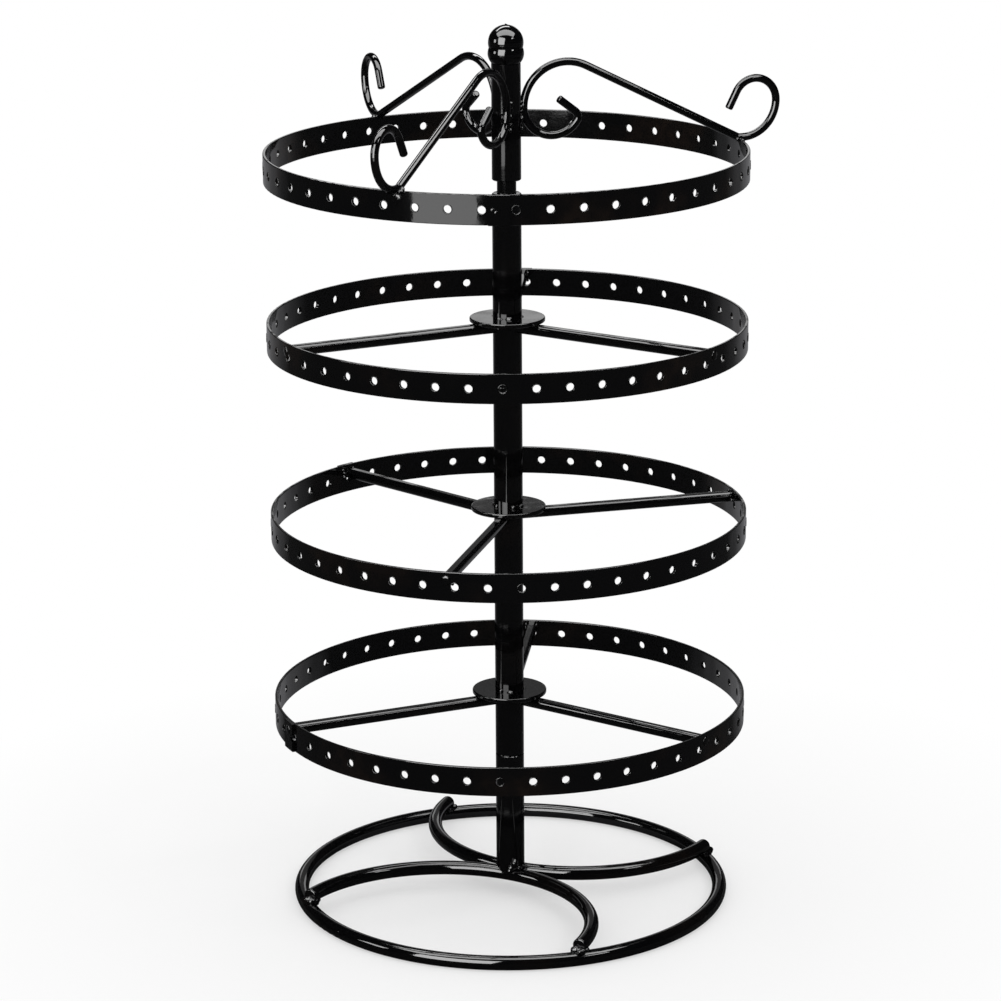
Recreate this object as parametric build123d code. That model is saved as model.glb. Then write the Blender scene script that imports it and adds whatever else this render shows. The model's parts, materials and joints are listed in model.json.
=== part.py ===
from build123d import *
import os
from math import acos, asin, atan2, degrees, sqrt

# Turning jewellery stand: three stacked tiers and a scrolled top unit, each free to turn on one centre rod.
# Millimetres. Z is the column's axis, Z = 0 is the surface that the stand rests on, and -Y is its front.

# Punched strip bands
BAND_DIAMETER = 165.0
BAND_HEIGHT = 10.0
BAND_THICKNESS = 1.0
BAND_EDGE_ROUND = 0.25
LAP_LENGTH = 7.0
HOLE_COUNT = 47
HOLE_DIAMETER = 2.8

# Column: tubes that turn on a fixed rod
TUBE_DIAMETER = 10.0
TUBE_RIM_CHAMFER = 0.3
ROD_DIAMETER = 6.6
RUNNING_CLEARANCE = 0.08
POST_TOP = 51.5
TIER_PITCH = 67.0
NECK_LENGTH = 4.5
SLEEVE_LENGTH = 40.0

# Tier hubs, with heights measured from the top of the tier's band
BAND_TOP_ABOVE_TUBE_FOOT = 23.5
DISC_DIAMETER = 26.0
DISC_THICKNESS = 1.5
DISC_RISE = 0.5
DISC_EDGE_ROUND = 0.4
SPOKE_DIAMETER = 4.0
SPOKE_COUNT = 3
SPOKE_FLAT = 0.2

# Directions in degrees from +X, lowest tier first: the spoke at the lap, and from it to the nearest hole
TIER_LAP_DIRECTIONS = (203.7, 135.2, 85.8)
TIER_HOLE_SHIFTS = (2.4, -0.5, -1.1)
TOP_LAP_DIRECTION = 268.0
TOP_HOLE_SHIFT = 3.8

# Base: a wire hoop that carries two half circles of the same wire, set back to back under the post
BASE_WIRE = 5.0
HOOP_DIAMETER = 149.0
HOOP_FLAT = 0.2
BASE_ARC_RADIUS = 52.4
BASE_ARC_GAP = 0.4
BASE_ARC_SEAT = 0.5
BASE_ARC_DIRECTION = 63.1
POST_NOTCH = 1.3
ROD_FOOT_GAP = 0.5

# Scrolled arms, with heights measured from the top of the top band
TOP_BAND_ABOVE_SLEEVE_FOOT = 10.5
ARM_WIRE = 2.7
ARM_DIRECTIONS = {"right": 12.0, "back": 123.5, "front": 242.4}
ARM_OFFSETS = {"right": 0.0, "back": 0.0, "front": 3.0}
HOOK_TWISTS = {"right": 8.0, "back": -12.0, "front": -3.0}
ARM_WELD_HEIGHT = 14.0
ARM_BITE = 0.3
ARM_NOTCH = 0.8
CROWN_RADIUS = 15.0
CURL_RADIUS = 10.0
CURL_TURN = 148.0
ELBOW_RADIUS = 2.5
ELBOW_TURN = 84.0
CURL_TIP = 7.5
FOOT_RADIUS = 2.5
HOOK_SETBACK = 1.0
HOOK_BELLY_RADIUS = 12.3
HOOK_HEAD_RADIUS = 7.8
HOOK_HEAD_TURN = 153.0
HOOK_TIP = 6.5
WIRE_END_ROUND = 0.6

# Finial, turned in one piece with the stem that is pressed in the sleeve
FINIAL_STEM = 6.0
COLLAR_PROUD = 1.15
COLLAR_BULGE_HEIGHT = 3.3
COLLAR_HEIGHT = 5.0
BALL_DIAMETER = 12.0
WAIST_DEPTH = 0.25
NUB_DIAMETER = 1.6
NUB_HEIGHT = 0.4

# Sizes that follow from the ones above
band_radius = BAND_DIAMETER / 2
band_inside = band_radius - BAND_THICKNESS
band_edge_round = min(BAND_EDGE_ROUND, 0.4 * BAND_THICKNESS)
tube_radius = TUBE_DIAMETER / 2
rod_radius = ROD_DIAMETER / 2
bore_radius = rod_radius + RUNNING_CLEARANCE
disc_underside = DISC_RISE - DISC_THICKNESS
tier_count = len(TIER_LAP_DIRECTIONS)
sleeve_foot = POST_TOP + tier_count * TIER_PITCH + NECK_LENGTH
sleeve_top = sleeve_foot + SLEEVE_LENGTH
rod_top = sleeve_top - FINIAL_STEM
top_band_top = sleeve_foot + TOP_BAND_ABOVE_SLEEVE_FOOT
base_wire_radius = BASE_WIRE / 2
hoop_level = base_wire_radius - HOOP_FLAT
arc_level = hoop_level + BASE_WIRE - BASE_ARC_SEAT
arc_top = arc_level + base_wire_radius

FROM_BELOW = (Align.CENTER, Align.CENTER, Align.MIN)


def upright(radius, length):
    """A plain cylinder on the axis, standing on Z = 0."""
    return Cylinder(radius, length, align=FROM_BELOW)


def tube(length, inner_radius):
    """A tube on the axis, standing on Z = 0, with its two outer rims broken."""
    outside = upright(tube_radius, length)
    outside = chamfer(outside.edges().filter_by(GeomType.CIRCLE), TUBE_RIM_CHAMFER)
    return outside - upright(inner_radius, length)


def plain_band():
    """The strip bent into a ring, before punching, with its top at Z = 0."""
    strip = Pos(band_radius - BAND_THICKNESS / 2, -BAND_HEIGHT / 2)
    strip *= RectangleRounded(BAND_THICKNESS, BAND_HEIGHT, band_edge_round)
    return revolve(Plane.XZ * strip, Axis.Z)


def lap():
    """The strip's outer end where it laps over the ring at +X, rooted in the middle of the ring's wall."""
    depth = 1.5 * BAND_THICKNESS
    middle = band_radius + BAND_THICKNESS - depth / 2
    section = Pos(middle, -BAND_HEIGHT / 2) * Rectangle(depth, BAND_HEIGHT)
    section = fillet(section.vertices().group_by(Axis.X)[-1], band_edge_round)
    turn = degrees(LAP_LENGTH / (band_radius + BAND_THICKNESS))
    return Rot(Z=-turn / 2) * revolve(Plane.XZ * section, Axis.Z, turn)


def band(hole_shift):
    """A whole band with its lap at +X, its top at Z = 0 and its holes at mid height."""
    drill = Rot(Y=90) * Cylinder(HOLE_DIAMETER / 2, 6 * BAND_THICKNESS)
    drill = Pos(band_radius, 0, -BAND_HEIGHT / 2) * drill
    pitch = 360 / HOLE_COUNT
    drills = [Rot(Z=hole_shift + number * pitch) * drill for number in range(HOLE_COUNT)]
    return plain_band() + lap() - drills


def hub_disc():
    """The disc round a tier's tube, over the spokes' inner ends."""
    disc = upright(DISC_DIAMETER / 2, DISC_THICKNESS)
    disc = fillet(disc.edges().filter_by(GeomType.CIRCLE), DISC_EDGE_ROUND)
    return Pos(0, 0, disc_underside) * (disc - upright(tube_radius, DISC_THICKNESS))


def spoke():
    """A wire spoke along +X from the tube to the band, flattened where it lies under the hub disc."""
    level = disc_underside - SPOKE_DIAMETER / 2 + SPOKE_FLAT
    wire = extrude(Plane.YZ * Pos(0, level) * Circle(SPOKE_DIAMETER / 2), band_radius)
    inside_band = Pos(0, 0, disc_underside - SPOKE_DIAMETER) * upright(band_inside, SPOKE_DIAMETER)
    inside_tube = Pos(0, 0, disc_underside - SPOKE_DIAMETER) * upright(tube_radius, SPOKE_DIAMETER)
    return (wire & inside_band) - inside_tube


def base_hoop():
    """The hoop, with the narrow flat that it stands on."""
    return split(Pos(0, 0, hoop_level) * Torus(HOOP_DIAMETER / 2, base_wire_radius), Plane.XY, Keep.TOP)


def base_arc():
    """The half circle of wire centred on +X, whose ends lie on the middle of the hoop's wire."""
    centre = BASE_ARC_RADIUS + (BASE_WIRE + BASE_ARC_GAP) / 2
    hoop_radius = HOOP_DIAMETER / 2
    half = degrees(acos((BASE_ARC_RADIUS**2 + centre**2 - hoop_radius**2) / (2 * BASE_ARC_RADIUS * centre)))
    path = Pos(centre, 0, arc_level) * CenterArc((0, 0), BASE_ARC_RADIUS, 180 - half, 2 * half)
    return rounded_wire(path, base_wire_radius) - base_hoop()


def rounded_wire(path, radius):
    """Round wire along a path, with the sharp edge taken off its two ends."""
    wire = sweep(Plane(path @ 0, z_dir=path % 0) * Circle(radius), path)
    ends = wire.faces().filter_by(GeomType.PLANE)
    return fillet(ends.edges(), WIRE_END_ROUND)


def base_post(arcs):
    """The post's tube, notched over the two arcs."""
    foot = arc_top - POST_NOTCH
    return Pos(0, 0, foot) * tube(POST_TOP - foot, rod_radius) - arcs


def centre_rod():
    """The rod, from just above the arcs to the end that the finial's stem stands on."""
    foot = arc_top + ROD_FOOT_GAP
    return Pos(0, 0, foot) * upright(rod_radius, rod_top - foot)


def arm_path(offset, hook_twist):
    """The arm's centre line from its inner curl to its outer hook, along +X, with the band's top at Z = 0.

    The offset is how far the arm's plane passes beside the column's axis. It only sets how near to the axis
    the weld and the foot are; the finished wire is moved aside by it afterwards.
    """
    wire_radius = ARM_WIRE / 2
    weld = Vector(sqrt((tube_radius + wire_radius - ARM_BITE) ** 2 - offset**2), ARM_WELD_HEIGHT)
    # The long run is the crossing tangent of the crown's circle and the foot bend's circle
    crown_centre = weld + Vector(CROWN_RADIUS, 0)
    foot_reach = sqrt((band_radius - BAND_THICKNESS / 2) ** 2 - offset**2)
    foot_centre = Vector(foot_reach, wire_radius - ARM_NOTCH + FOOT_RADIUS)
    span = foot_centre - crown_centre
    both_radii = CROWN_RADIUS + FOOT_RADIUS
    slope = degrees(atan2(span.Y, span.X) - asin(both_radii / span.length))
    run = sqrt(span.length**2 - both_radii**2)
    curl = JernArc(weld, (0, -1), CURL_RADIUS, CURL_TURN)
    elbow = JernArc(curl @ 1, curl % 1, ELBOW_RADIUS, ELBOW_TURN)
    curl_tip = Line(elbow @ 1, elbow @ 1 + CURL_TIP * (elbow % 1))
    crown = JernArc(weld, (0, 1), CROWN_RADIUS, slope - 90)
    long_run = Line(crown @ 1, crown @ 1 + run * (crown % 1))
    foot = JernArc(long_run @ 1, long_run % 1, FOOT_RADIUS, -slope)
    inside = Plane.XZ * Wire([curl_tip, elbow, curl, crown, long_run, foot])
    # Beyond the band the wire bends sideways on the level, and the hook stands in the turned plane
    foot_end = Plane.XZ.from_local_coords(foot @ 1)
    outward = Vector(1, 0, 0)
    turned = outward.rotate(Axis.Z, hook_twist)
    hook_start = foot_end + HOOK_SETBACK * (outward + turned).normalized()
    sill = Spline(foot_end, hook_start, tangents=(outward, turned))
    belly = JernArc((0, 0), (1, 0), HOOK_BELLY_RADIUS, 90)
    head = JernArc(belly @ 1, (0, 1), HOOK_HEAD_RADIUS, HOOK_HEAD_TURN)
    hook_tip = Line(head @ 1, head @ 1 + HOOK_TIP * (head % 1))
    hook = Pos(sill @ 1) * Rot(Z=hook_twist) * (Plane.XZ * Wire([belly, head, hook_tip]))
    return Wire([*inside.edges(), sill, *hook.edges()])


def scroll_arm(offset, hook_twist):
    """A scrolled arm, cut where it is welded to the sleeve and where it sits over the band's top edge."""
    sleeve = Pos(0, 0, sleeve_foot - top_band_top) * upright(tube_radius, SLEEVE_LENGTH)
    wire = Pos(0, offset, 0) * rounded_wire(arm_path(offset, hook_twist), ARM_WIRE / 2)
    return wire - sleeve - plain_band()


def finial():
    """The ball, its collar and its stem, with the collar's seat on the sleeve at Z = 0."""
    ball_radius = BALL_DIAMETER / 2
    waist_radius = ball_radius - WAIST_DEPTH
    ball_centre = COLLAR_HEIGHT + sqrt(ball_radius**2 - waist_radius**2)
    nub_radius = NUB_DIAMETER / 2
    nub_foot = ball_centre + sqrt(ball_radius**2 - nub_radius**2)
    collar_side = (tube_radius + COLLAR_PROUD, COLLAR_BULGE_HEIGHT)
    ball_side = (ball_radius, ball_centre)
    nub_tip = (0, ball_centre + ball_radius + NUB_HEIGHT)
    outline = [
        Line((0, -FINIAL_STEM), (bore_radius, -FINIAL_STEM)),
        Line((bore_radius, -FINIAL_STEM), (bore_radius, 0)),
        Line((bore_radius, 0), (tube_radius, 0)),
        ThreePointArc((tube_radius, 0), collar_side, (waist_radius, COLLAR_HEIGHT)),
        ThreePointArc((waist_radius, COLLAR_HEIGHT), ball_side, (nub_radius, nub_foot)),
        Line((nub_radius, nub_foot), nub_tip),
        Line(nub_tip, (0, -FINIAL_STEM)),
    ]
    return revolve(Plane.XZ * make_face(outline), Axis.Z)


def base_parts():
    """The pieces that stand still, by name."""
    arc = base_arc()
    arcs = {
        "base_arc_back": Rot(Z=BASE_ARC_DIRECTION) * arc,
        "base_arc_front": Rot(Z=BASE_ARC_DIRECTION + 180) * arc,
    }
    post = base_post(list(arcs.values()))
    return arcs | {"base_hoop": base_hoop(), "base_post": post, "centre_rod": centre_rod()}


def tier_parts(number):
    """The pieces of one tier, counted from 1 at the bottom, by name."""
    foot = POST_TOP + (number - 1) * TIER_PITCH
    band_top = Pos(0, 0, foot + BAND_TOP_ABOVE_TUBE_FOOT)
    lap_direction = TIER_LAP_DIRECTIONS[number - 1]
    pieces = {
        "tube": Pos(0, 0, foot) * tube(TIER_PITCH, bore_radius),
        "hub_disc": band_top * hub_disc(),
        "band": band_top * Rot(Z=lap_direction) * band(TIER_HOLE_SHIFTS[number - 1]),
    }
    for index in range(SPOKE_COUNT):
        direction = lap_direction + index * 360 / SPOKE_COUNT
        pieces[f"spoke_{index + 1}"] = band_top * Rot(Z=direction) * spoke()
    return {f"tier_{number}_{name}": piece for name, piece in pieces.items()}


def top_parts():
    """The pieces of the top unit, by name."""
    band_top = Pos(0, 0, top_band_top)
    pieces = {
        "top_sleeve": Pos(0, 0, sleeve_foot) * tube(SLEEVE_LENGTH, bore_radius),
        "top_band": band_top * Rot(Z=TOP_LAP_DIRECTION) * band(TOP_HOLE_SHIFT),
        "finial": Pos(0, 0, sleeve_top) * finial(),
    }
    for name, direction in ARM_DIRECTIONS.items():
        arm = scroll_arm(ARM_OFFSETS[name], HOOK_TWISTS[name])
        pieces[f"scroll_arm_{name}"] = band_top * Rot(Z=direction) * arm
    return pieces


parts = base_parts()
for tier_number in range(1, tier_count + 1):
    parts |= tier_parts(tier_number)
parts |= top_parts()

os.makedirs("parts", exist_ok=True)
for part_name, part_shape in parts.items():
    export_step(part_shape, f"parts/{part_name}.step")
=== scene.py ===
import json
from math import acos, cos, degrees, pi, radians, sin
from random import Random

import bmesh
import bpy
from mathutils import Matrix, Vector


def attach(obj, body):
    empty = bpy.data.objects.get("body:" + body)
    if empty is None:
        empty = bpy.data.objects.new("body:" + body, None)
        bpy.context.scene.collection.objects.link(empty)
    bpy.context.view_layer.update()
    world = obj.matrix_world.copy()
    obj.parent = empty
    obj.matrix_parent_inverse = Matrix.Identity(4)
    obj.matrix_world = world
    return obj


# Looks of the turning stand: black lacquer, weld beads, spot-weld marks and burred rims of the holes.
# Lengths are in millimetres and directions in degrees from +X, except where a heading says otherwise.
MM = 0.001

# Sizes that the looks share with the construction
BAND_RADIUS = 82.5
BAND_HEIGHT = 10.0
BAND_THICKNESS = 1.0
LAP_HALF_ANGLE = 2.4
LAP_OUTSIDE = BAND_RADIUS + BAND_THICKNESS
HOLE_COUNT = 47
HOLE_RADIUS = 1.4
TUBE_RADIUS = 5.0
DISC_TOP_ABOVE_BAND_TOP = 0.5
SPOKE_BELOW_BAND_TOP = 2.8
SPOKE_COUNT = 3
TIER_BAND_TOPS = (75.0, 142.0, 209.0)
TIER_LAP_DIRECTIONS = (203.7, 135.2, 85.8)
TIER_HOLE_SHIFTS = (2.4, -0.5, -1.1)
TOP_BAND_TOP = 267.5
TOP_LAP_DIRECTION = 268.0
TOP_HOLE_SHIFT = 3.8
ARM_FOOT_DIRECTIONS = {"right": 12.0, "back": 123.5, "front": 244.5}
ARM_WELD_DIRECTIONS = {"right": 12.0, "back": 123.5, "front": 272.1}
ARM_WELD_ABOVE_BAND_TOP = 14.0
HOOP_RADIUS = 74.5
BASE_WIRE_RADIUS = 2.5
HOOP_LEVEL = 2.3
ARC_LEVEL = 6.8
ARC_RADIUS = 52.4
ARC_CENTRE = 55.1
ARC_DIRECTION = 63.1

# Rims of the punched holes
RIM_WIRE_RADIUS = 0.16
RIM_WIRE_SIDES = 5
RIM_STEPS = 12

# Spot-weld marks; a speck's place is its turn from the top band's lap and its drop below the band's top
SPOT_RADIUS = 1.7
SPOT_FLATNESS = 0.19
SPECK_RADIUS = 0.7
SPECK_PLACES = ((-1.4, 4.9), (-0.6, 5.7))
ARM_SPOT_BELOW_BAND_TOP = 2.4

# Weld beads: lumps of uneven size that run together
LUMP_SUBDIVISIONS = 2
LUMP_SIZE_RANGE = (0.75, 1.15)
LUMP_SCATTER = 0.35
BEAD_VOXEL = 0.22
BEAD_SOFTENING = 0.5
BEAD_SOFTENING_ROUNDS = 6

# Weld runs at the hubs and at the outer ends of the spokes
DISC_WELD_OUT = 0.1
DISC_WELD_TURN = 54
DISC_WELD_HALF_TURN = 24
HUB_SPOKE_HALF_TURN = 22
SPOKE_WELD_IN = 0.2
SPOKE_WELD_TURN = 1.5
SPOKE_WELD_BELOW = 1.3
SPOKE_WELD_ABOVE = 1.2

# Weld runs at the arms; each run on the sleeve is a turn from the arm and the radius of its lumps
SLEEVE_WELD_RUNS = ((-14, 0.7), (16, 0.95))
SLEEVE_WELD_OUT = 0.15
SLEEVE_WELD_BELOW = 6.5
SLEEVE_WELD_ABOVE = 2.0
FOOT_WELD_TURN = 1.1
FOOT_WELD_INSIDE = 1.6
FOOT_WELD_OUTSIDE = 0.6
FOOT_WELD_RISE = 0.2
FOOT_WELD_DROP = 0.1

# Weld runs of the base; the post's lump has its heights counted from the post's foot
ARC_WELD_SIDE = 1.6
ARC_WELD_BEHIND = 2.8
ARC_WELD_AHEAD = 0.6
SKIRT_AHEAD = 0.8
SKIRT_RISE = 0.6
SKIRT_HALF_WIDTH = 1.8
CAP_HALF_WIDTH = 1.0
CAP_RISE = 1.6
CAP_SCATTER = 0.6
POST_WELD_HALF_TURN = 30
POST_WELD_DROP = 0.3
POST_LUMP_FROM = (-0.6, -5.9, -1.0)
POST_LUMP_TO = (2.4, -5.2, 3.0)
POST_LUMP_SCATTER = 0.8

# Points closer than this are one
MERGE_DISTANCE = 0.0001

# Lacquers: roughness from smooth to rough, strength of the bumps, shares of thin places and of dust
FINISHES = {
    "strip_lacquer": dict(
        smooth=0.04, rough=0.08, ripple=0.02, wave=0.14, thin=0.8, dust=0.05, upright=0.15
    ),
    "wire_lacquer": dict(smooth=0.03, rough=0.07, ripple=0.02, wave=0.06, thin=0.3, dust=0.04),
    "column_lacquer": dict(smooth=0.04, rough=0.08, ripple=0.02, wave=0.05, thin=0.3, dust=0.05),
    "weld_lacquer": dict(smooth=0.05, rough=0.12, ripple=0.2, wave=0.3, thin=0.5, dust=0.06),
}
LACQUER_BLACK = (0.0016, 0.0016, 0.0018, 1.0)
LACQUER_THIN = (0.011, 0.007, 0.005, 1.0)
LACQUER_IOR = 1.5
DUST_GREY = (0.11, 0.105, 0.1, 1.0)

# Depths of the lacquer's bumps, in metres
RIPPLE_DEPTH = 0.0003
WAVE_DEPTH = 0.0015

# Camera, as fitted to the rings of the photograph
CAMERA_PLACE = (-6.76, -1229.0, 485.28)
CAMERA_PITCH = 15.518
CAMERA_YAW = -0.187
CAMERA_ROLL = -0.368
CAMERA_LENS = 131.99
SENSOR_WIDTH = 36.0

# Floor and room, in metres; the back of the floor is told by the Y of a place's heading from the column
WHITE = (1.0, 1.0, 1.0, 1.0)
FLOOR_SIZE = 14.0
FLOOR_WHITE = (0.86, 0.86, 0.86, 1.0)
# Floor colours seen only in reflections: painted shade in front of the stand, painted light of a lit back
# wall behind it
REFLECTED_FLOOR_PAINTED_SHADE = (0.04, 0.04, 0.04, 1.0)
REFLECTED_FLOOR_PAINTED_LIGHT = (0.25, 0.25, 0.26, 1.0)
BACK_FROM = 0.53
BACK_FULL = 0.9
SHADOW_REACH = 0.05
PAGE_WHITE_FROM = 0.26
PAGE_SHARE_NEAR = 0.4
AMBIENT = 1.0
DARK_ROOM = (0.012, 0.012, 0.013, 1.0)
LIGHT_TARGET = Vector((0.0, 0.0, 0.20))

# The mix node's sockets for colours, whose names its other sockets share
MIX_FIRST_COLOUR = 6
MIX_SECOND_COLOUR = 7
MIX_RESULT_COLOUR = 2

chance = Random(5)
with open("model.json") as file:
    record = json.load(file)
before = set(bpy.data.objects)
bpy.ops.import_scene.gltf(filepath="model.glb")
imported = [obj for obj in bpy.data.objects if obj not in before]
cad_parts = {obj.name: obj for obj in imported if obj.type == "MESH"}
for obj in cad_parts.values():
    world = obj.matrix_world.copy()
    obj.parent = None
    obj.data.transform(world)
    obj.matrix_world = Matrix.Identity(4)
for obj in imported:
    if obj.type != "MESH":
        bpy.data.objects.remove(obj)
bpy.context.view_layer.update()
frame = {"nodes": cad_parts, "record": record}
scene = bpy.context.scene


# Shader nodes that the materials share

def feed(links, source, socket):
    """Links a socket to another one, or gives it a plain value."""
    if isinstance(source, bpy.types.NodeSocket):
        links.new(source, socket)
    else:
        socket.default_value = source


def noise(nodes, links, vector, detail, scale):
    """A noise texture on a vector; its scale is a number or a socket."""
    texture = nodes.new("ShaderNodeTexNoise")
    texture.inputs["Detail"].default_value = detail
    links.new(vector, texture.inputs["Vector"])
    feed(links, scale, texture.inputs["Scale"])
    return texture.outputs["Fac"]


def stretch(nodes, links, value, low, high, to_low=0.0, to_high=1.0):
    """A value from one range brought to another, held at the ends."""
    node = nodes.new("ShaderNodeMapRange")
    links.new(value, node.inputs["Value"])
    node.inputs["From Min"].default_value = low
    node.inputs["From Max"].default_value = high
    node.inputs["To Min"].default_value = to_low
    node.inputs["To Max"].default_value = to_high
    return node.outputs["Result"]


def multiply(nodes, links, first, second):
    """The product of two values."""
    node = nodes.new("ShaderNodeMath")
    node.operation = "MULTIPLY"
    links.new(first, node.inputs[0])
    links.new(second, node.inputs[1])
    return node.outputs["Value"]


def vector_math(nodes, links, operation, *vectors):
    """A node that does one operation on one or two vectors."""
    node = nodes.new("ShaderNodeVectorMath")
    node.operation = operation
    for vector, socket in zip(vectors, node.inputs):
        links.new(vector, socket)
    return node


def part_of(nodes, links, vector, axis):
    """One of a vector's three parts."""
    node = nodes.new("ShaderNodeSeparateXYZ")
    links.new(vector, node.inputs["Vector"])
    return node.outputs[axis]


def mix_colour(nodes, links, mask, first, second):
    """One colour over another by a mask; each is a colour or a socket."""
    node = nodes.new("ShaderNodeMix")
    node.data_type = "RGBA"
    links.new(mask, node.inputs["Factor"])
    feed(links, first, node.inputs[MIX_FIRST_COLOUR])
    feed(links, second, node.inputs[MIX_SECOND_COLOUR])
    return node.outputs[MIX_RESULT_COLOUR]


def bump(nodes, links, height, strength, depth, over=None):
    """A normal from a map of heights, on the plain surface or over another normal."""
    node = nodes.new("ShaderNodeBump")
    node.inputs["Distance"].default_value = depth
    links.new(height, node.inputs["Height"])
    links.new(strength, node.inputs["Strength"])
    if over is not None:
        links.new(over, node.inputs["Normal"])
    return node.outputs["Normal"]


# Node groups that the lacquers share

def new_group(name, inputs, outputs):
    """An empty shader node group with float inputs, given as name: default, and typed outputs."""
    group = bpy.data.node_groups.new(name, "ShaderNodeTree")
    for socket_name, value in inputs.items():
        socket = group.interface.new_socket(socket_name, in_out="INPUT", socket_type="NodeSocketFloat")
        socket.default_value = value
    for socket_name, kind in outputs.items():
        group.interface.new_socket(socket_name, in_out="OUTPUT", socket_type=kind)
    return group, group.nodes.new("NodeGroupInput"), group.nodes.new("NodeGroupOutput")


def build_peel_group():
    """Orange peel of dipped lacquer: a fine ripple over a slow wave, as a normal.

    With a low Upright the wave changes little with height, as the flats of a rolled strip do.
    """
    group, source, result = new_group(
        "lacquer_peel",
        {"Ripple Scale": 900.0, "Wave Scale": 90.0, "Ripple": 0.1, "Wave": 0.2, "Upright": 1.0},
        {"Normal": "NodeSocketVector"},
    )
    nodes, links = group.nodes, group.links
    place = nodes.new("ShaderNodeTexCoord").outputs["Object"]
    squeeze = nodes.new("ShaderNodeCombineXYZ")
    squeeze.inputs["X"].default_value = 1.0
    squeeze.inputs["Y"].default_value = 1.0
    links.new(source.outputs["Upright"], squeeze.inputs["Z"])
    drawn_out = vector_math(nodes, links, "MULTIPLY", place, squeeze.outputs["Vector"])
    slow = noise(nodes, links, drawn_out.outputs["Vector"], detail=1.0, scale=source.outputs["Wave Scale"])
    fine = noise(nodes, links, place, detail=2.0, scale=source.outputs["Ripple Scale"])
    wave = bump(nodes, links, slow, source.outputs["Wave"], WAVE_DEPTH)
    ripple = bump(nodes, links, fine, source.outputs["Ripple"], RIPPLE_DEPTH, over=wave)
    links.new(ripple, result.inputs["Normal"])
    return group


def build_thin_group():
    """Where the lacquer is thin and its black turns brownish, as a mask."""
    group, source, result = new_group("lacquer_thin", {"Amount": 0.5}, {"Mask": "NodeSocketFloat"})
    nodes, links = group.nodes, group.links
    place = nodes.new("ShaderNodeTexCoord").outputs["Object"]
    broad = noise(nodes, links, place, detail=3.0, scale=26.0)
    fine = noise(nodes, links, place, detail=5.0, scale=260.0)
    patches = stretch(nodes, links, broad, low=0.52, high=0.72)
    mottle = stretch(nodes, links, fine, low=0.35, high=0.65, to_low=0.25)
    worn = multiply(nodes, links, patches, mottle)
    links.new(multiply(nodes, links, worn, source.outputs["Amount"]), result.inputs["Mask"])
    return group


def build_dust_group():
    """Fine dust on faces that look up, as a mask."""
    group, source, result = new_group("settled_dust", {"Amount": 0.3}, {"Mask": "NodeSocketFloat"})
    nodes, links = group.nodes, group.links
    place = nodes.new("ShaderNodeTexCoord").outputs["Object"]
    normal = nodes.new("ShaderNodeNewGeometry").outputs["Normal"]
    upward = stretch(nodes, links, part_of(nodes, links, normal, "Z"), low=0.35, high=1.0)
    grains = noise(nodes, links, place, detail=4.0, scale=700.0)
    specks = stretch(nodes, links, grains, low=0.55, high=0.8)
    settled = multiply(nodes, links, upward, specks)
    links.new(multiply(nodes, links, settled, source.outputs["Amount"]), result.inputs["Mask"])
    return group


def group_node(nodes, group, **values):
    """A group's node with some of its inputs set."""
    node = nodes.new("ShaderNodeGroup")
    node.node_tree = group
    for name, value in values.items():
        node.inputs[name].default_value = value
    return node


# Lacquers

peel_group = build_peel_group()
thin_group = build_thin_group()
dust_group = build_dust_group()


def lacquer(name, smooth, rough, ripple, wave, thin, dust, upright=1.0):
    """A black lacquer whose roughness runs from smooth to rough over the surface."""
    material = bpy.data.materials.new(name)
    material.use_nodes = True
    nodes, links = material.node_tree.nodes, material.node_tree.links
    shader = nodes["Principled BSDF"]
    place = nodes.new("ShaderNodeTexCoord").outputs["Object"]
    brown = group_node(nodes, thin_group, Amount=thin).outputs["Mask"]
    dusty = group_node(nodes, dust_group, Amount=dust).outputs["Mask"]
    paint = mix_colour(nodes, links, brown, LACQUER_BLACK, LACQUER_THIN)
    links.new(mix_colour(nodes, links, dusty, paint, DUST_GREY), shader.inputs["Base Color"])
    sheen = noise(nodes, links, place, detail=2.0, scale=70.0)
    roughness = stretch(nodes, links, sheen, low=0.3, high=0.7, to_low=smooth, to_high=rough)
    links.new(roughness, shader.inputs["Roughness"])
    peel = group_node(nodes, peel_group, Ripple=ripple, Wave=wave, Upright=upright)
    links.new(peel.outputs["Normal"], shader.inputs["Normal"])
    shader.inputs["IOR"].default_value = LACQUER_IOR
    return material


materials = {name: lacquer(name, **finish) for name, finish in FINISHES.items()}

for part in frame["record"]["subparts"]:
    node = frame["nodes"][part["node"]]
    node.data.materials.clear()
    node.data.materials.append(materials[part["material_slot"]])


# Helpers for the added pieces

def polar(radius, direction, height):
    """A point in mm at a radius and direction from the column's axis."""
    return Vector((radius * cos(radians(direction)), radius * sin(radians(direction)), height))


def outward(radius, direction, height):
    """The place in metres at which local +X points straight out from the column's axis."""
    return Matrix.Rotation(radians(direction), 4, "Z") @ Matrix.Translation((radius * MM, 0, height * MM))


def spoke_directions(lap):
    """Directions of a tier's spokes, of which the first ends at the band's lap."""
    return [lap + 360 * index / SPOKE_COUNT for index in range(SPOKE_COUNT)]


def mesh_object(name, shape):
    """An object in the scene, made of a bmesh that is then freed."""
    mesh = bpy.data.meshes.new(name)
    shape.to_mesh(mesh)
    shape.free()
    made = bpy.data.objects.new(name, mesh)
    scene.collection.objects.link(made)
    return made


def finish_piece(name, shape, body, material):
    """Makes an object of a bmesh, shades it smooth and lets it ride a body."""
    bmesh.ops.remove_doubles(shape, verts=shape.verts, dist=MERGE_DISTANCE * MM)
    bmesh.ops.recalc_face_normals(shape, faces=shape.faces)
    piece = mesh_object(name, shape)
    for face in piece.data.polygons:
        face.use_smooth = True
    piece.data.materials.append(materials[material])
    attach(piece, body)
    return piece


# Burred rims of the punched holes

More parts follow.
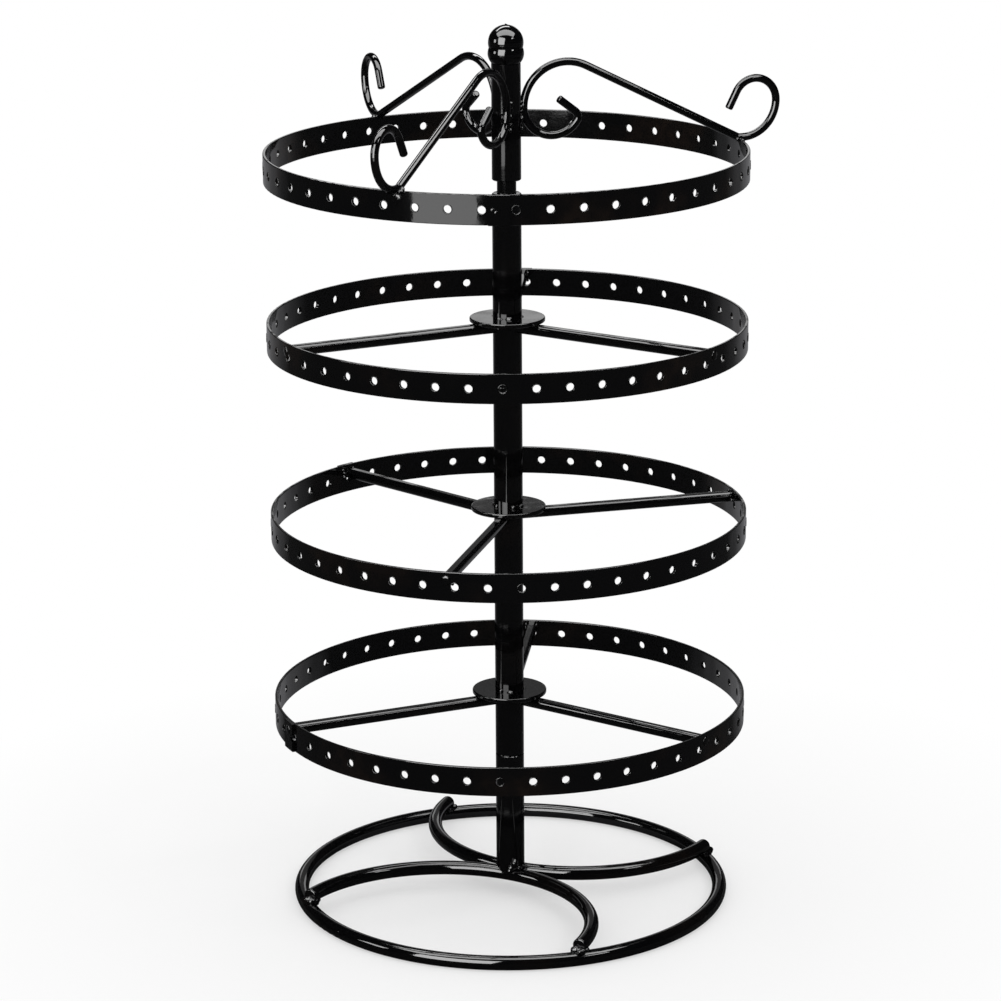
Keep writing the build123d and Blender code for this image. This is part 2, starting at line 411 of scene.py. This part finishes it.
def hole_rims(body, band_top, lap, hole_shift):
    """One thin raised ring round the outside of each hole of a band."""
    shape = bmesh.new()
    pitch = 360 / HOLE_COUNT
    above = Matrix.Translation((0, 0, (HOLE_RADIUS + RIM_WIRE_RADIUS / 2) * MM))
    upright = Matrix.Rotation(pi / 2, 4, "X")
    for number in range(HOLE_COUNT):
        from_lap = (hole_shift + number * pitch + 180) % 360 - 180
        on_lap = abs(from_lap) < LAP_HALF_ANGLE
        radius = LAP_OUTSIDE if on_lap else BAND_RADIUS
        place = outward(radius, lap + from_lap, band_top - BAND_HEIGHT / 2)
        section = bmesh.ops.create_circle(
            shape, segments=RIM_WIRE_SIDES, radius=RIM_WIRE_RADIUS * MM, cap_ends=False
        )
        bmesh.ops.transform(shape, matrix=place @ above @ upright, verts=section["verts"])
        edges = list({edge for vert in section["verts"] for edge in vert.link_edges})
        bmesh.ops.spin(
            shape,
            geom=section["verts"] + edges,
            cent=place.translation,
            axis=(place.to_3x3() @ Vector((1, 0, 0))),
            angle=2 * pi,
            steps=RIM_STEPS,
            use_merge=True,
            use_duplicate=False,
        )
    finish_piece(f"{body}_hole_rims", shape, body, "strip_lacquer")


tiers = []
for number, (band_top, lap) in enumerate(zip(TIER_BAND_TOPS, TIER_LAP_DIRECTIONS), 1):
    tiers.append((f"tier_{number}", band_top, lap))
for tier, hole_shift in zip(tiers, TIER_HOLE_SHIFTS):
    hole_rims(*tier, hole_shift)
hole_rims("top", TOP_BAND_TOP, TOP_LAP_DIRECTION, TOP_HOLE_SHIFT)


# Spot-weld marks on the outside of the bands

def tier_spots(band_top, lap):
    """A mark outside each spoke's end, the first of them on the lap."""
    level = band_top - SPOKE_BELOW_BAND_TOP
    on_lap, *others = spoke_directions(lap)
    spots = [(LAP_OUTSIDE, on_lap, level, SPOT_RADIUS)]
    for direction in others:
        spots.append((BAND_RADIUS, direction, level, SPOT_RADIUS))
    return spots


def top_spots():
    """Two specks on the top band's lap and a mark under each arm's foot."""
    spots = []
    for turn, drop in SPECK_PLACES:
        spots.append((LAP_OUTSIDE, TOP_LAP_DIRECTION + turn, TOP_BAND_TOP - drop, SPECK_RADIUS))
    for direction in ARM_FOOT_DIRECTIONS.values():
        spots.append((BAND_RADIUS, direction, TOP_BAND_TOP - ARM_SPOT_BELOW_BAND_TOP, SPOT_RADIUS))
    return spots


def spot_marks(body, spots):
    """Low round bumps on a band's outside: each a reach from the axis, a direction, a height and a size."""
    shape = bmesh.new()
    flat = Matrix.Diagonal((SPOT_FLATNESS, 1.0, 1.0, 1.0))
    for reach, direction, height, size in spots:
        place = outward(reach, direction, height) @ flat
        bmesh.ops.create_icosphere(shape, subdivisions=LUMP_SUBDIVISIONS, radius=size * MM, matrix=place)
    finish_piece(f"{body}_spot_marks", shape, body, "weld_lacquer")


for body, band_top, lap in tiers:
    spot_marks(body, tier_spots(band_top, lap))
spot_marks("top", top_spots())


# Weld beads

def jitter(size):
    """A small random shift in mm."""
    return Vector([chance.uniform(-size, size) for _ in range(3)])


def bead_across(start, end, count, size, scatter=LUMP_SCATTER):
    """Lumps of uneven size along a line from one point to another, each a point and a radius in mm."""
    lumps = []
    for index in range(count):
        place = start.lerp(end, index / (count - 1)) + jitter(scatter)
        lumps.append((place, size * chance.uniform(*LUMP_SIZE_RANGE)))
    return lumps


def bead_round(radius, direction, half_turn, height, count, size):
    """Lumps on a short run round the column's axis, about a direction."""
    start = polar(radius, direction - half_turn, height)
    end = polar(radius, direction + half_turn, height)
    return bead_across(start, end, count, size)


def weld_bead(name, body, lumps):
    """A weld: lumps that are run together and smoothed as molten metal is."""
    shape = bmesh.new()
    for place, radius in lumps:
        spot = Matrix.Translation(place * MM)
        bmesh.ops.create_icosphere(shape, subdivisions=LUMP_SUBDIVISIONS, radius=radius * MM, matrix=spot)
    piece = finish_piece(name, shape, body, "weld_lacquer")
    merge = piece.modifiers.new("run_together", "REMESH")
    merge.mode = "VOXEL"
    merge.voxel_size = BEAD_VOXEL * MM
    merge.use_smooth_shade = True
    soften = piece.modifiers.new("soften", "SMOOTH")
    soften.factor = BEAD_SOFTENING
    soften.iterations = BEAD_SOFTENING_ROUNDS


def hub_welds(body, band_top, lap):
    """Where a tier's disc and spokes meet its tube."""
    disc_top = band_top + DISC_TOP_ABOVE_BAND_TOP
    spoke_level = band_top - SPOKE_BELOW_BAND_TOP
    on_disc = TUBE_RADIUS + DISC_WELD_OUT
    lumps = []
    for direction in spoke_directions(lap):
        past_spoke = direction + DISC_WELD_TURN
        lumps += bead_round(on_disc, past_spoke, DISC_WELD_HALF_TURN, disc_top, count=5, size=0.8)
        lumps += bead_round(TUBE_RADIUS, direction, HUB_SPOKE_HALF_TURN, spoke_level, count=5, size=0.9)
    weld_bead(f"{body}_hub_welds", body, lumps)


def spoke_welds(body, band_top, lap):
    """Where a tier's spokes meet the inside of its band: a run up each side of the wire's end."""
    spoke_level = band_top - SPOKE_BELOW_BAND_TOP
    inside = BAND_RADIUS - BAND_THICKNESS - SPOKE_WELD_IN
    lumps = []
    for spoke in spoke_directions(lap):
        for direction in (spoke - SPOKE_WELD_TURN, spoke + SPOKE_WELD_TURN):
            foot = polar(inside, direction, spoke_level - SPOKE_WELD_BELOW)
            head = polar(inside, direction, spoke_level + SPOKE_WELD_ABOVE)
            lumps += bead_across(foot, head, count=4, size=0.6)
    weld_bead(f"{body}_spoke_welds", body, lumps)


def arm_sleeve_weld(name, arm_direction):
    """Where an arm meets the sleeve: a run up each side of the wire, the second one heavier."""
    middle = TOP_BAND_TOP + ARM_WELD_ABOVE_BAND_TOP
    reach = TUBE_RADIUS + SLEEVE_WELD_OUT
    lumps = []
    for turn, size in SLEEVE_WELD_RUNS:
        foot = polar(reach, arm_direction + turn, middle - SLEEVE_WELD_BELOW)
        head = polar(reach, arm_direction + turn, middle + SLEEVE_WELD_ABOVE)
        lumps += bead_across(foot, head, count=7, size=size)
    weld_bead(f"arm_{name}_sleeve_weld", "top", lumps)


def arm_foot_weld(name, arm_direction):
    """Where an arm's foot sits over the band's top edge: a run on each side, across the edge."""
    lumps = []
    for direction in (arm_direction - FOOT_WELD_TURN, arm_direction + FOOT_WELD_TURN):
        inner = polar(BAND_RADIUS - FOOT_WELD_INSIDE, direction, TOP_BAND_TOP + FOOT_WELD_RISE)
        outer = polar(BAND_RADIUS + FOOT_WELD_OUTSIDE, direction, TOP_BAND_TOP - FOOT_WELD_DROP)
        lumps += bead_across(inner, outer, count=4, size=0.75)
    weld_bead(f"arm_{name}_foot_weld", "top", lumps)


def arc_end_weld(name, direction, heading):
    """Where an arc's end lies on the hoop: a run on each side of the wire, a skirt round its end and a cap.

    The direction is that of the end from the column, and the heading is where the wire's end points.
    """
    end = polar(HOOP_RADIUS, direction, (HOOP_LEVEL + ARC_LEVEL) / 2)
    ahead = polar(1, heading, 0)
    aside = polar(1, heading + 90, 0)
    lumps = []
    for side in (-ARC_WELD_SIDE, ARC_WELD_SIDE):
        beside = end + side * aside
        start = beside - ARC_WELD_BEHIND * ahead
        lumps += bead_across(start, beside + ARC_WELD_AHEAD * ahead, count=5, size=1.2)
    skirt = end + SKIRT_AHEAD * ahead + Vector((0, 0, SKIRT_RISE))
    half_skirt = SKIRT_HALF_WIDTH * aside
    lumps += bead_across(skirt - half_skirt, skirt + half_skirt, count=5, size=1.35)
    half_cap = CAP_HALF_WIDTH * aside
    cap = skirt - half_cap + Vector((0, 0, CAP_RISE))
    lumps += bead_across(cap, skirt + half_cap, count=4, size=0.9, scatter=CAP_SCATTER)
    weld_bead(f"base_{name}_weld", "base", lumps)


def post_weld():
    """Where the post's notches meet the two arcs, with a heavier lump in front."""
    foot = ARC_LEVEL + BASE_WIRE_RADIUS
    level = foot - POST_WELD_DROP
    lumps = []
    for direction in (ARC_DIRECTION + 90, ARC_DIRECTION - 90):
        lumps += bead_round(TUBE_RADIUS, direction, POST_WELD_HALF_TURN, level, count=6, size=1.0)
    lift = Vector((0, 0, foot))
    start = Vector(POST_LUMP_FROM) + lift
    end = Vector(POST_LUMP_TO) + lift
    lumps += bead_across(start, end, count=9, size=1.2, scatter=POST_LUMP_SCATTER)
    weld_bead("base_post_weld", "base", lumps)


for tier in tiers:
    hub_welds(*tier)
    spoke_welds(*tier)
for name, direction in ARM_WELD_DIRECTIONS.items():
    arm_sleeve_weld(name, direction)
for name, direction in ARM_FOOT_DIRECTIONS.items():
    arm_foot_weld(name, direction)
arc_reach = degrees(acos((HOOP_RADIUS**2 + ARC_CENTRE**2 - ARC_RADIUS**2) / (2 * HOOP_RADIUS * ARC_CENTRE)))
arc_end_weld("arc_back_right", ARC_DIRECTION - arc_reach, ARC_DIRECTION)
arc_end_weld("arc_back_left", ARC_DIRECTION + arc_reach, ARC_DIRECTION)
arc_end_weld("arc_front_left", ARC_DIRECTION + 180 - arc_reach, ARC_DIRECTION + 180)
arc_end_weld("arc_front_right", ARC_DIRECTION + 180 + arc_reach, ARC_DIRECTION + 180)
post_weld()


# Studio: a plain pale floor, soft light, and the camera of the photograph

def coloured(nodes, links, kind, colour):
    """A shader of one kind, whose colour is a value or a socket."""
    node = nodes.new(kind)
    feed(links, colour, node.inputs["Color"])
    return node.outputs[0]


def mix_shader(nodes, links, share, first, second):
    """The first shader, with a share of the second."""
    node = nodes.new("ShaderNodeMixShader")
    links.new(share, node.inputs["Fac"])
    links.new(first, node.inputs[1])
    links.new(second, node.inputs[2])
    return node.outputs["Shader"]


def ray_switch(nodes, links, ray, usual, seen_by_ray):
    """A usual shader, with another for one kind of ray."""
    share = nodes.new("ShaderNodeLightPath").outputs[ray]
    return mix_shader(nodes, links, share, usual, seen_by_ray)


def floor_paper():
    """Paper that takes the shadow and turns to plain white further out.

    In reflections it is dim in front of the stand, as painted shade, and lighter behind it, as painted
    light from a lit back wall.
    """
    material = bpy.data.materials.new("floor_paper")
    material.use_nodes = True
    nodes, links = material.node_tree.nodes, material.node_tree.links
    nodes.remove(nodes["Principled BSDF"])
    place = nodes.new("ShaderNodeTexCoord").outputs["Object"]
    paper = coloured(nodes, links, "ShaderNodeBsdfDiffuse", FLOOR_WHITE)
    page = coloured(nodes, links, "ShaderNodeEmission", WHITE)
    away = vector_math(nodes, links, "LENGTH", place).outputs["Value"]
    fade = stretch(nodes, links, away, SHADOW_REACH, PAGE_WHITE_FROM, to_low=PAGE_SHARE_NEAR)
    far_white = mix_shader(nodes, links, fade, paper, page)
    heading = vector_math(nodes, links, "NORMALIZE", place).outputs["Vector"]
    behind = stretch(nodes, links, part_of(nodes, links, heading, "Y"), BACK_FROM, BACK_FULL)
    # Painted shade in front and painted light behind, seen only by glossy rays
    reflected = mix_colour(nodes, links, behind, REFLECTED_FLOOR_PAINTED_SHADE, REFLECTED_FLOOR_PAINTED_LIGHT)
    dim = coloured(nodes, links, "ShaderNodeBsdfDiffuse", reflected)
    lit = ray_switch(nodes, links, "Is Camera Ray", paper, far_white)
    seen = ray_switch(nodes, links, "Is Glossy Ray", lit, dim)
    links.new(seen, nodes["Material Output"].inputs["Surface"])
    return material


def make_floor():
    """A wide floor under the stand."""
    shape = bmesh.new()
    bmesh.ops.create_grid(shape, x_segments=1, y_segments=1, size=FLOOR_SIZE / 2)
    floor = mesh_object("floor", shape)
    floor.data.materials.append(floor_paper())


def make_world():
    """An even surrounding light that the camera sees as white and the lacquer sees as a dark room."""
    world = bpy.data.worlds.new("studio")
    scene.world = world
    world.use_nodes = True
    nodes, links = world.node_tree.nodes, world.node_tree.links
    even = nodes["Background"]
    even.inputs["Color"].default_value = WHITE
    even.inputs["Strength"].default_value = AMBIENT
    room = coloured(nodes, links, "ShaderNodeBackground", DARK_ROOM)
    white = coloured(nodes, links, "ShaderNodeBackground", WHITE)
    lit = ray_switch(nodes, links, "Is Glossy Ray", even.outputs["Background"], room)
    seen = ray_switch(nodes, links, "Is Camera Ray", lit, white)
    links.new(seen, nodes["World Output"].inputs["Surface"])


def softbox(name, azimuth, elevation, distance, size, brightness, gloss_only=True):
    """A soft light aimed at the stand, its azimuth counted from the camera's side, to the right.

    Distance and size are in metres. A light for gloss only shows in the lacquer and adds none to the floor.
    """
    width, height = size
    light = bpy.data.lights.new(name, "AREA")
    light.shape = "RECTANGLE"
    light.size = width
    light.size_y = height
    light.energy = brightness * pi * width * height
    lamp = bpy.data.objects.new(name, light)
    level = cos(radians(elevation))
    turn = radians(azimuth)
    aim = Vector((sin(turn) * level, -cos(turn) * level, sin(radians(elevation))))
    lamp.location = LIGHT_TARGET + distance * aim
    lamp.rotation_mode = "QUATERNION"
    lamp.rotation_quaternion = aim.to_track_quat("Z", "Y")
    lamp.visible_camera = False
    lamp.visible_diffuse = not gloss_only
    scene.collection.objects.link(lamp)


def make_camera():
    """The photograph's camera: it looks along +Y and down a little."""
    data = bpy.data.cameras.new("camera")
    data.lens = CAMERA_LENS
    data.sensor_width = SENSOR_WIDTH
    camera = bpy.data.objects.new("camera", data)
    turn = Matrix.Rotation(radians(CAMERA_YAW), 4, "Z")
    tilt = Matrix.Rotation(radians(90 - CAMERA_PITCH), 4, "X")
    roll = Matrix.Rotation(radians(CAMERA_ROLL), 4, "Z")
    camera.matrix_world = Matrix.Translation(Vector(CAMERA_PLACE) * MM) @ turn @ tilt @ roll
    scene.collection.objects.link(camera)
    scene.camera = camera


make_floor()
make_world()
softbox("overhead", azimuth=0, elevation=79, distance=0.57, size=(1.06, 0.36), brightness=7.5)
softbox("rim_back", azimuth=-160, elevation=56, distance=0.62, size=(0.5, 0.1), brightness=10.0)
softbox("key_left", azimuth=-30, elevation=19, distance=1.2, size=(0.9, 0.95), brightness=11.0)
softbox(
    "spot_right",
    azimuth=50,
    elevation=34,
    distance=1.3,
    size=(0.28, 0.12),
    brightness=14.0,
    gloss_only=False,
)
softbox("side_left", azimuth=-76, elevation=14, distance=1.2, size=(0.3, 0.3), brightness=9.0)
softbox("low_panel", azimuth=-26, elevation=4.0, distance=0.30, size=(0.148, 0.03), brightness=3.2)
softbox("back_wall", azimuth=180, elevation=9.6, distance=2.54, size=(1.6, 0.36), brightness=0.9)
softbox("back_wall_top", azimuth=180, elevation=19.5, distance=2.65, size=(1.6, 0.5), brightness=0.14)
make_camera()
scene.view_settings.view_transform = "Standard"
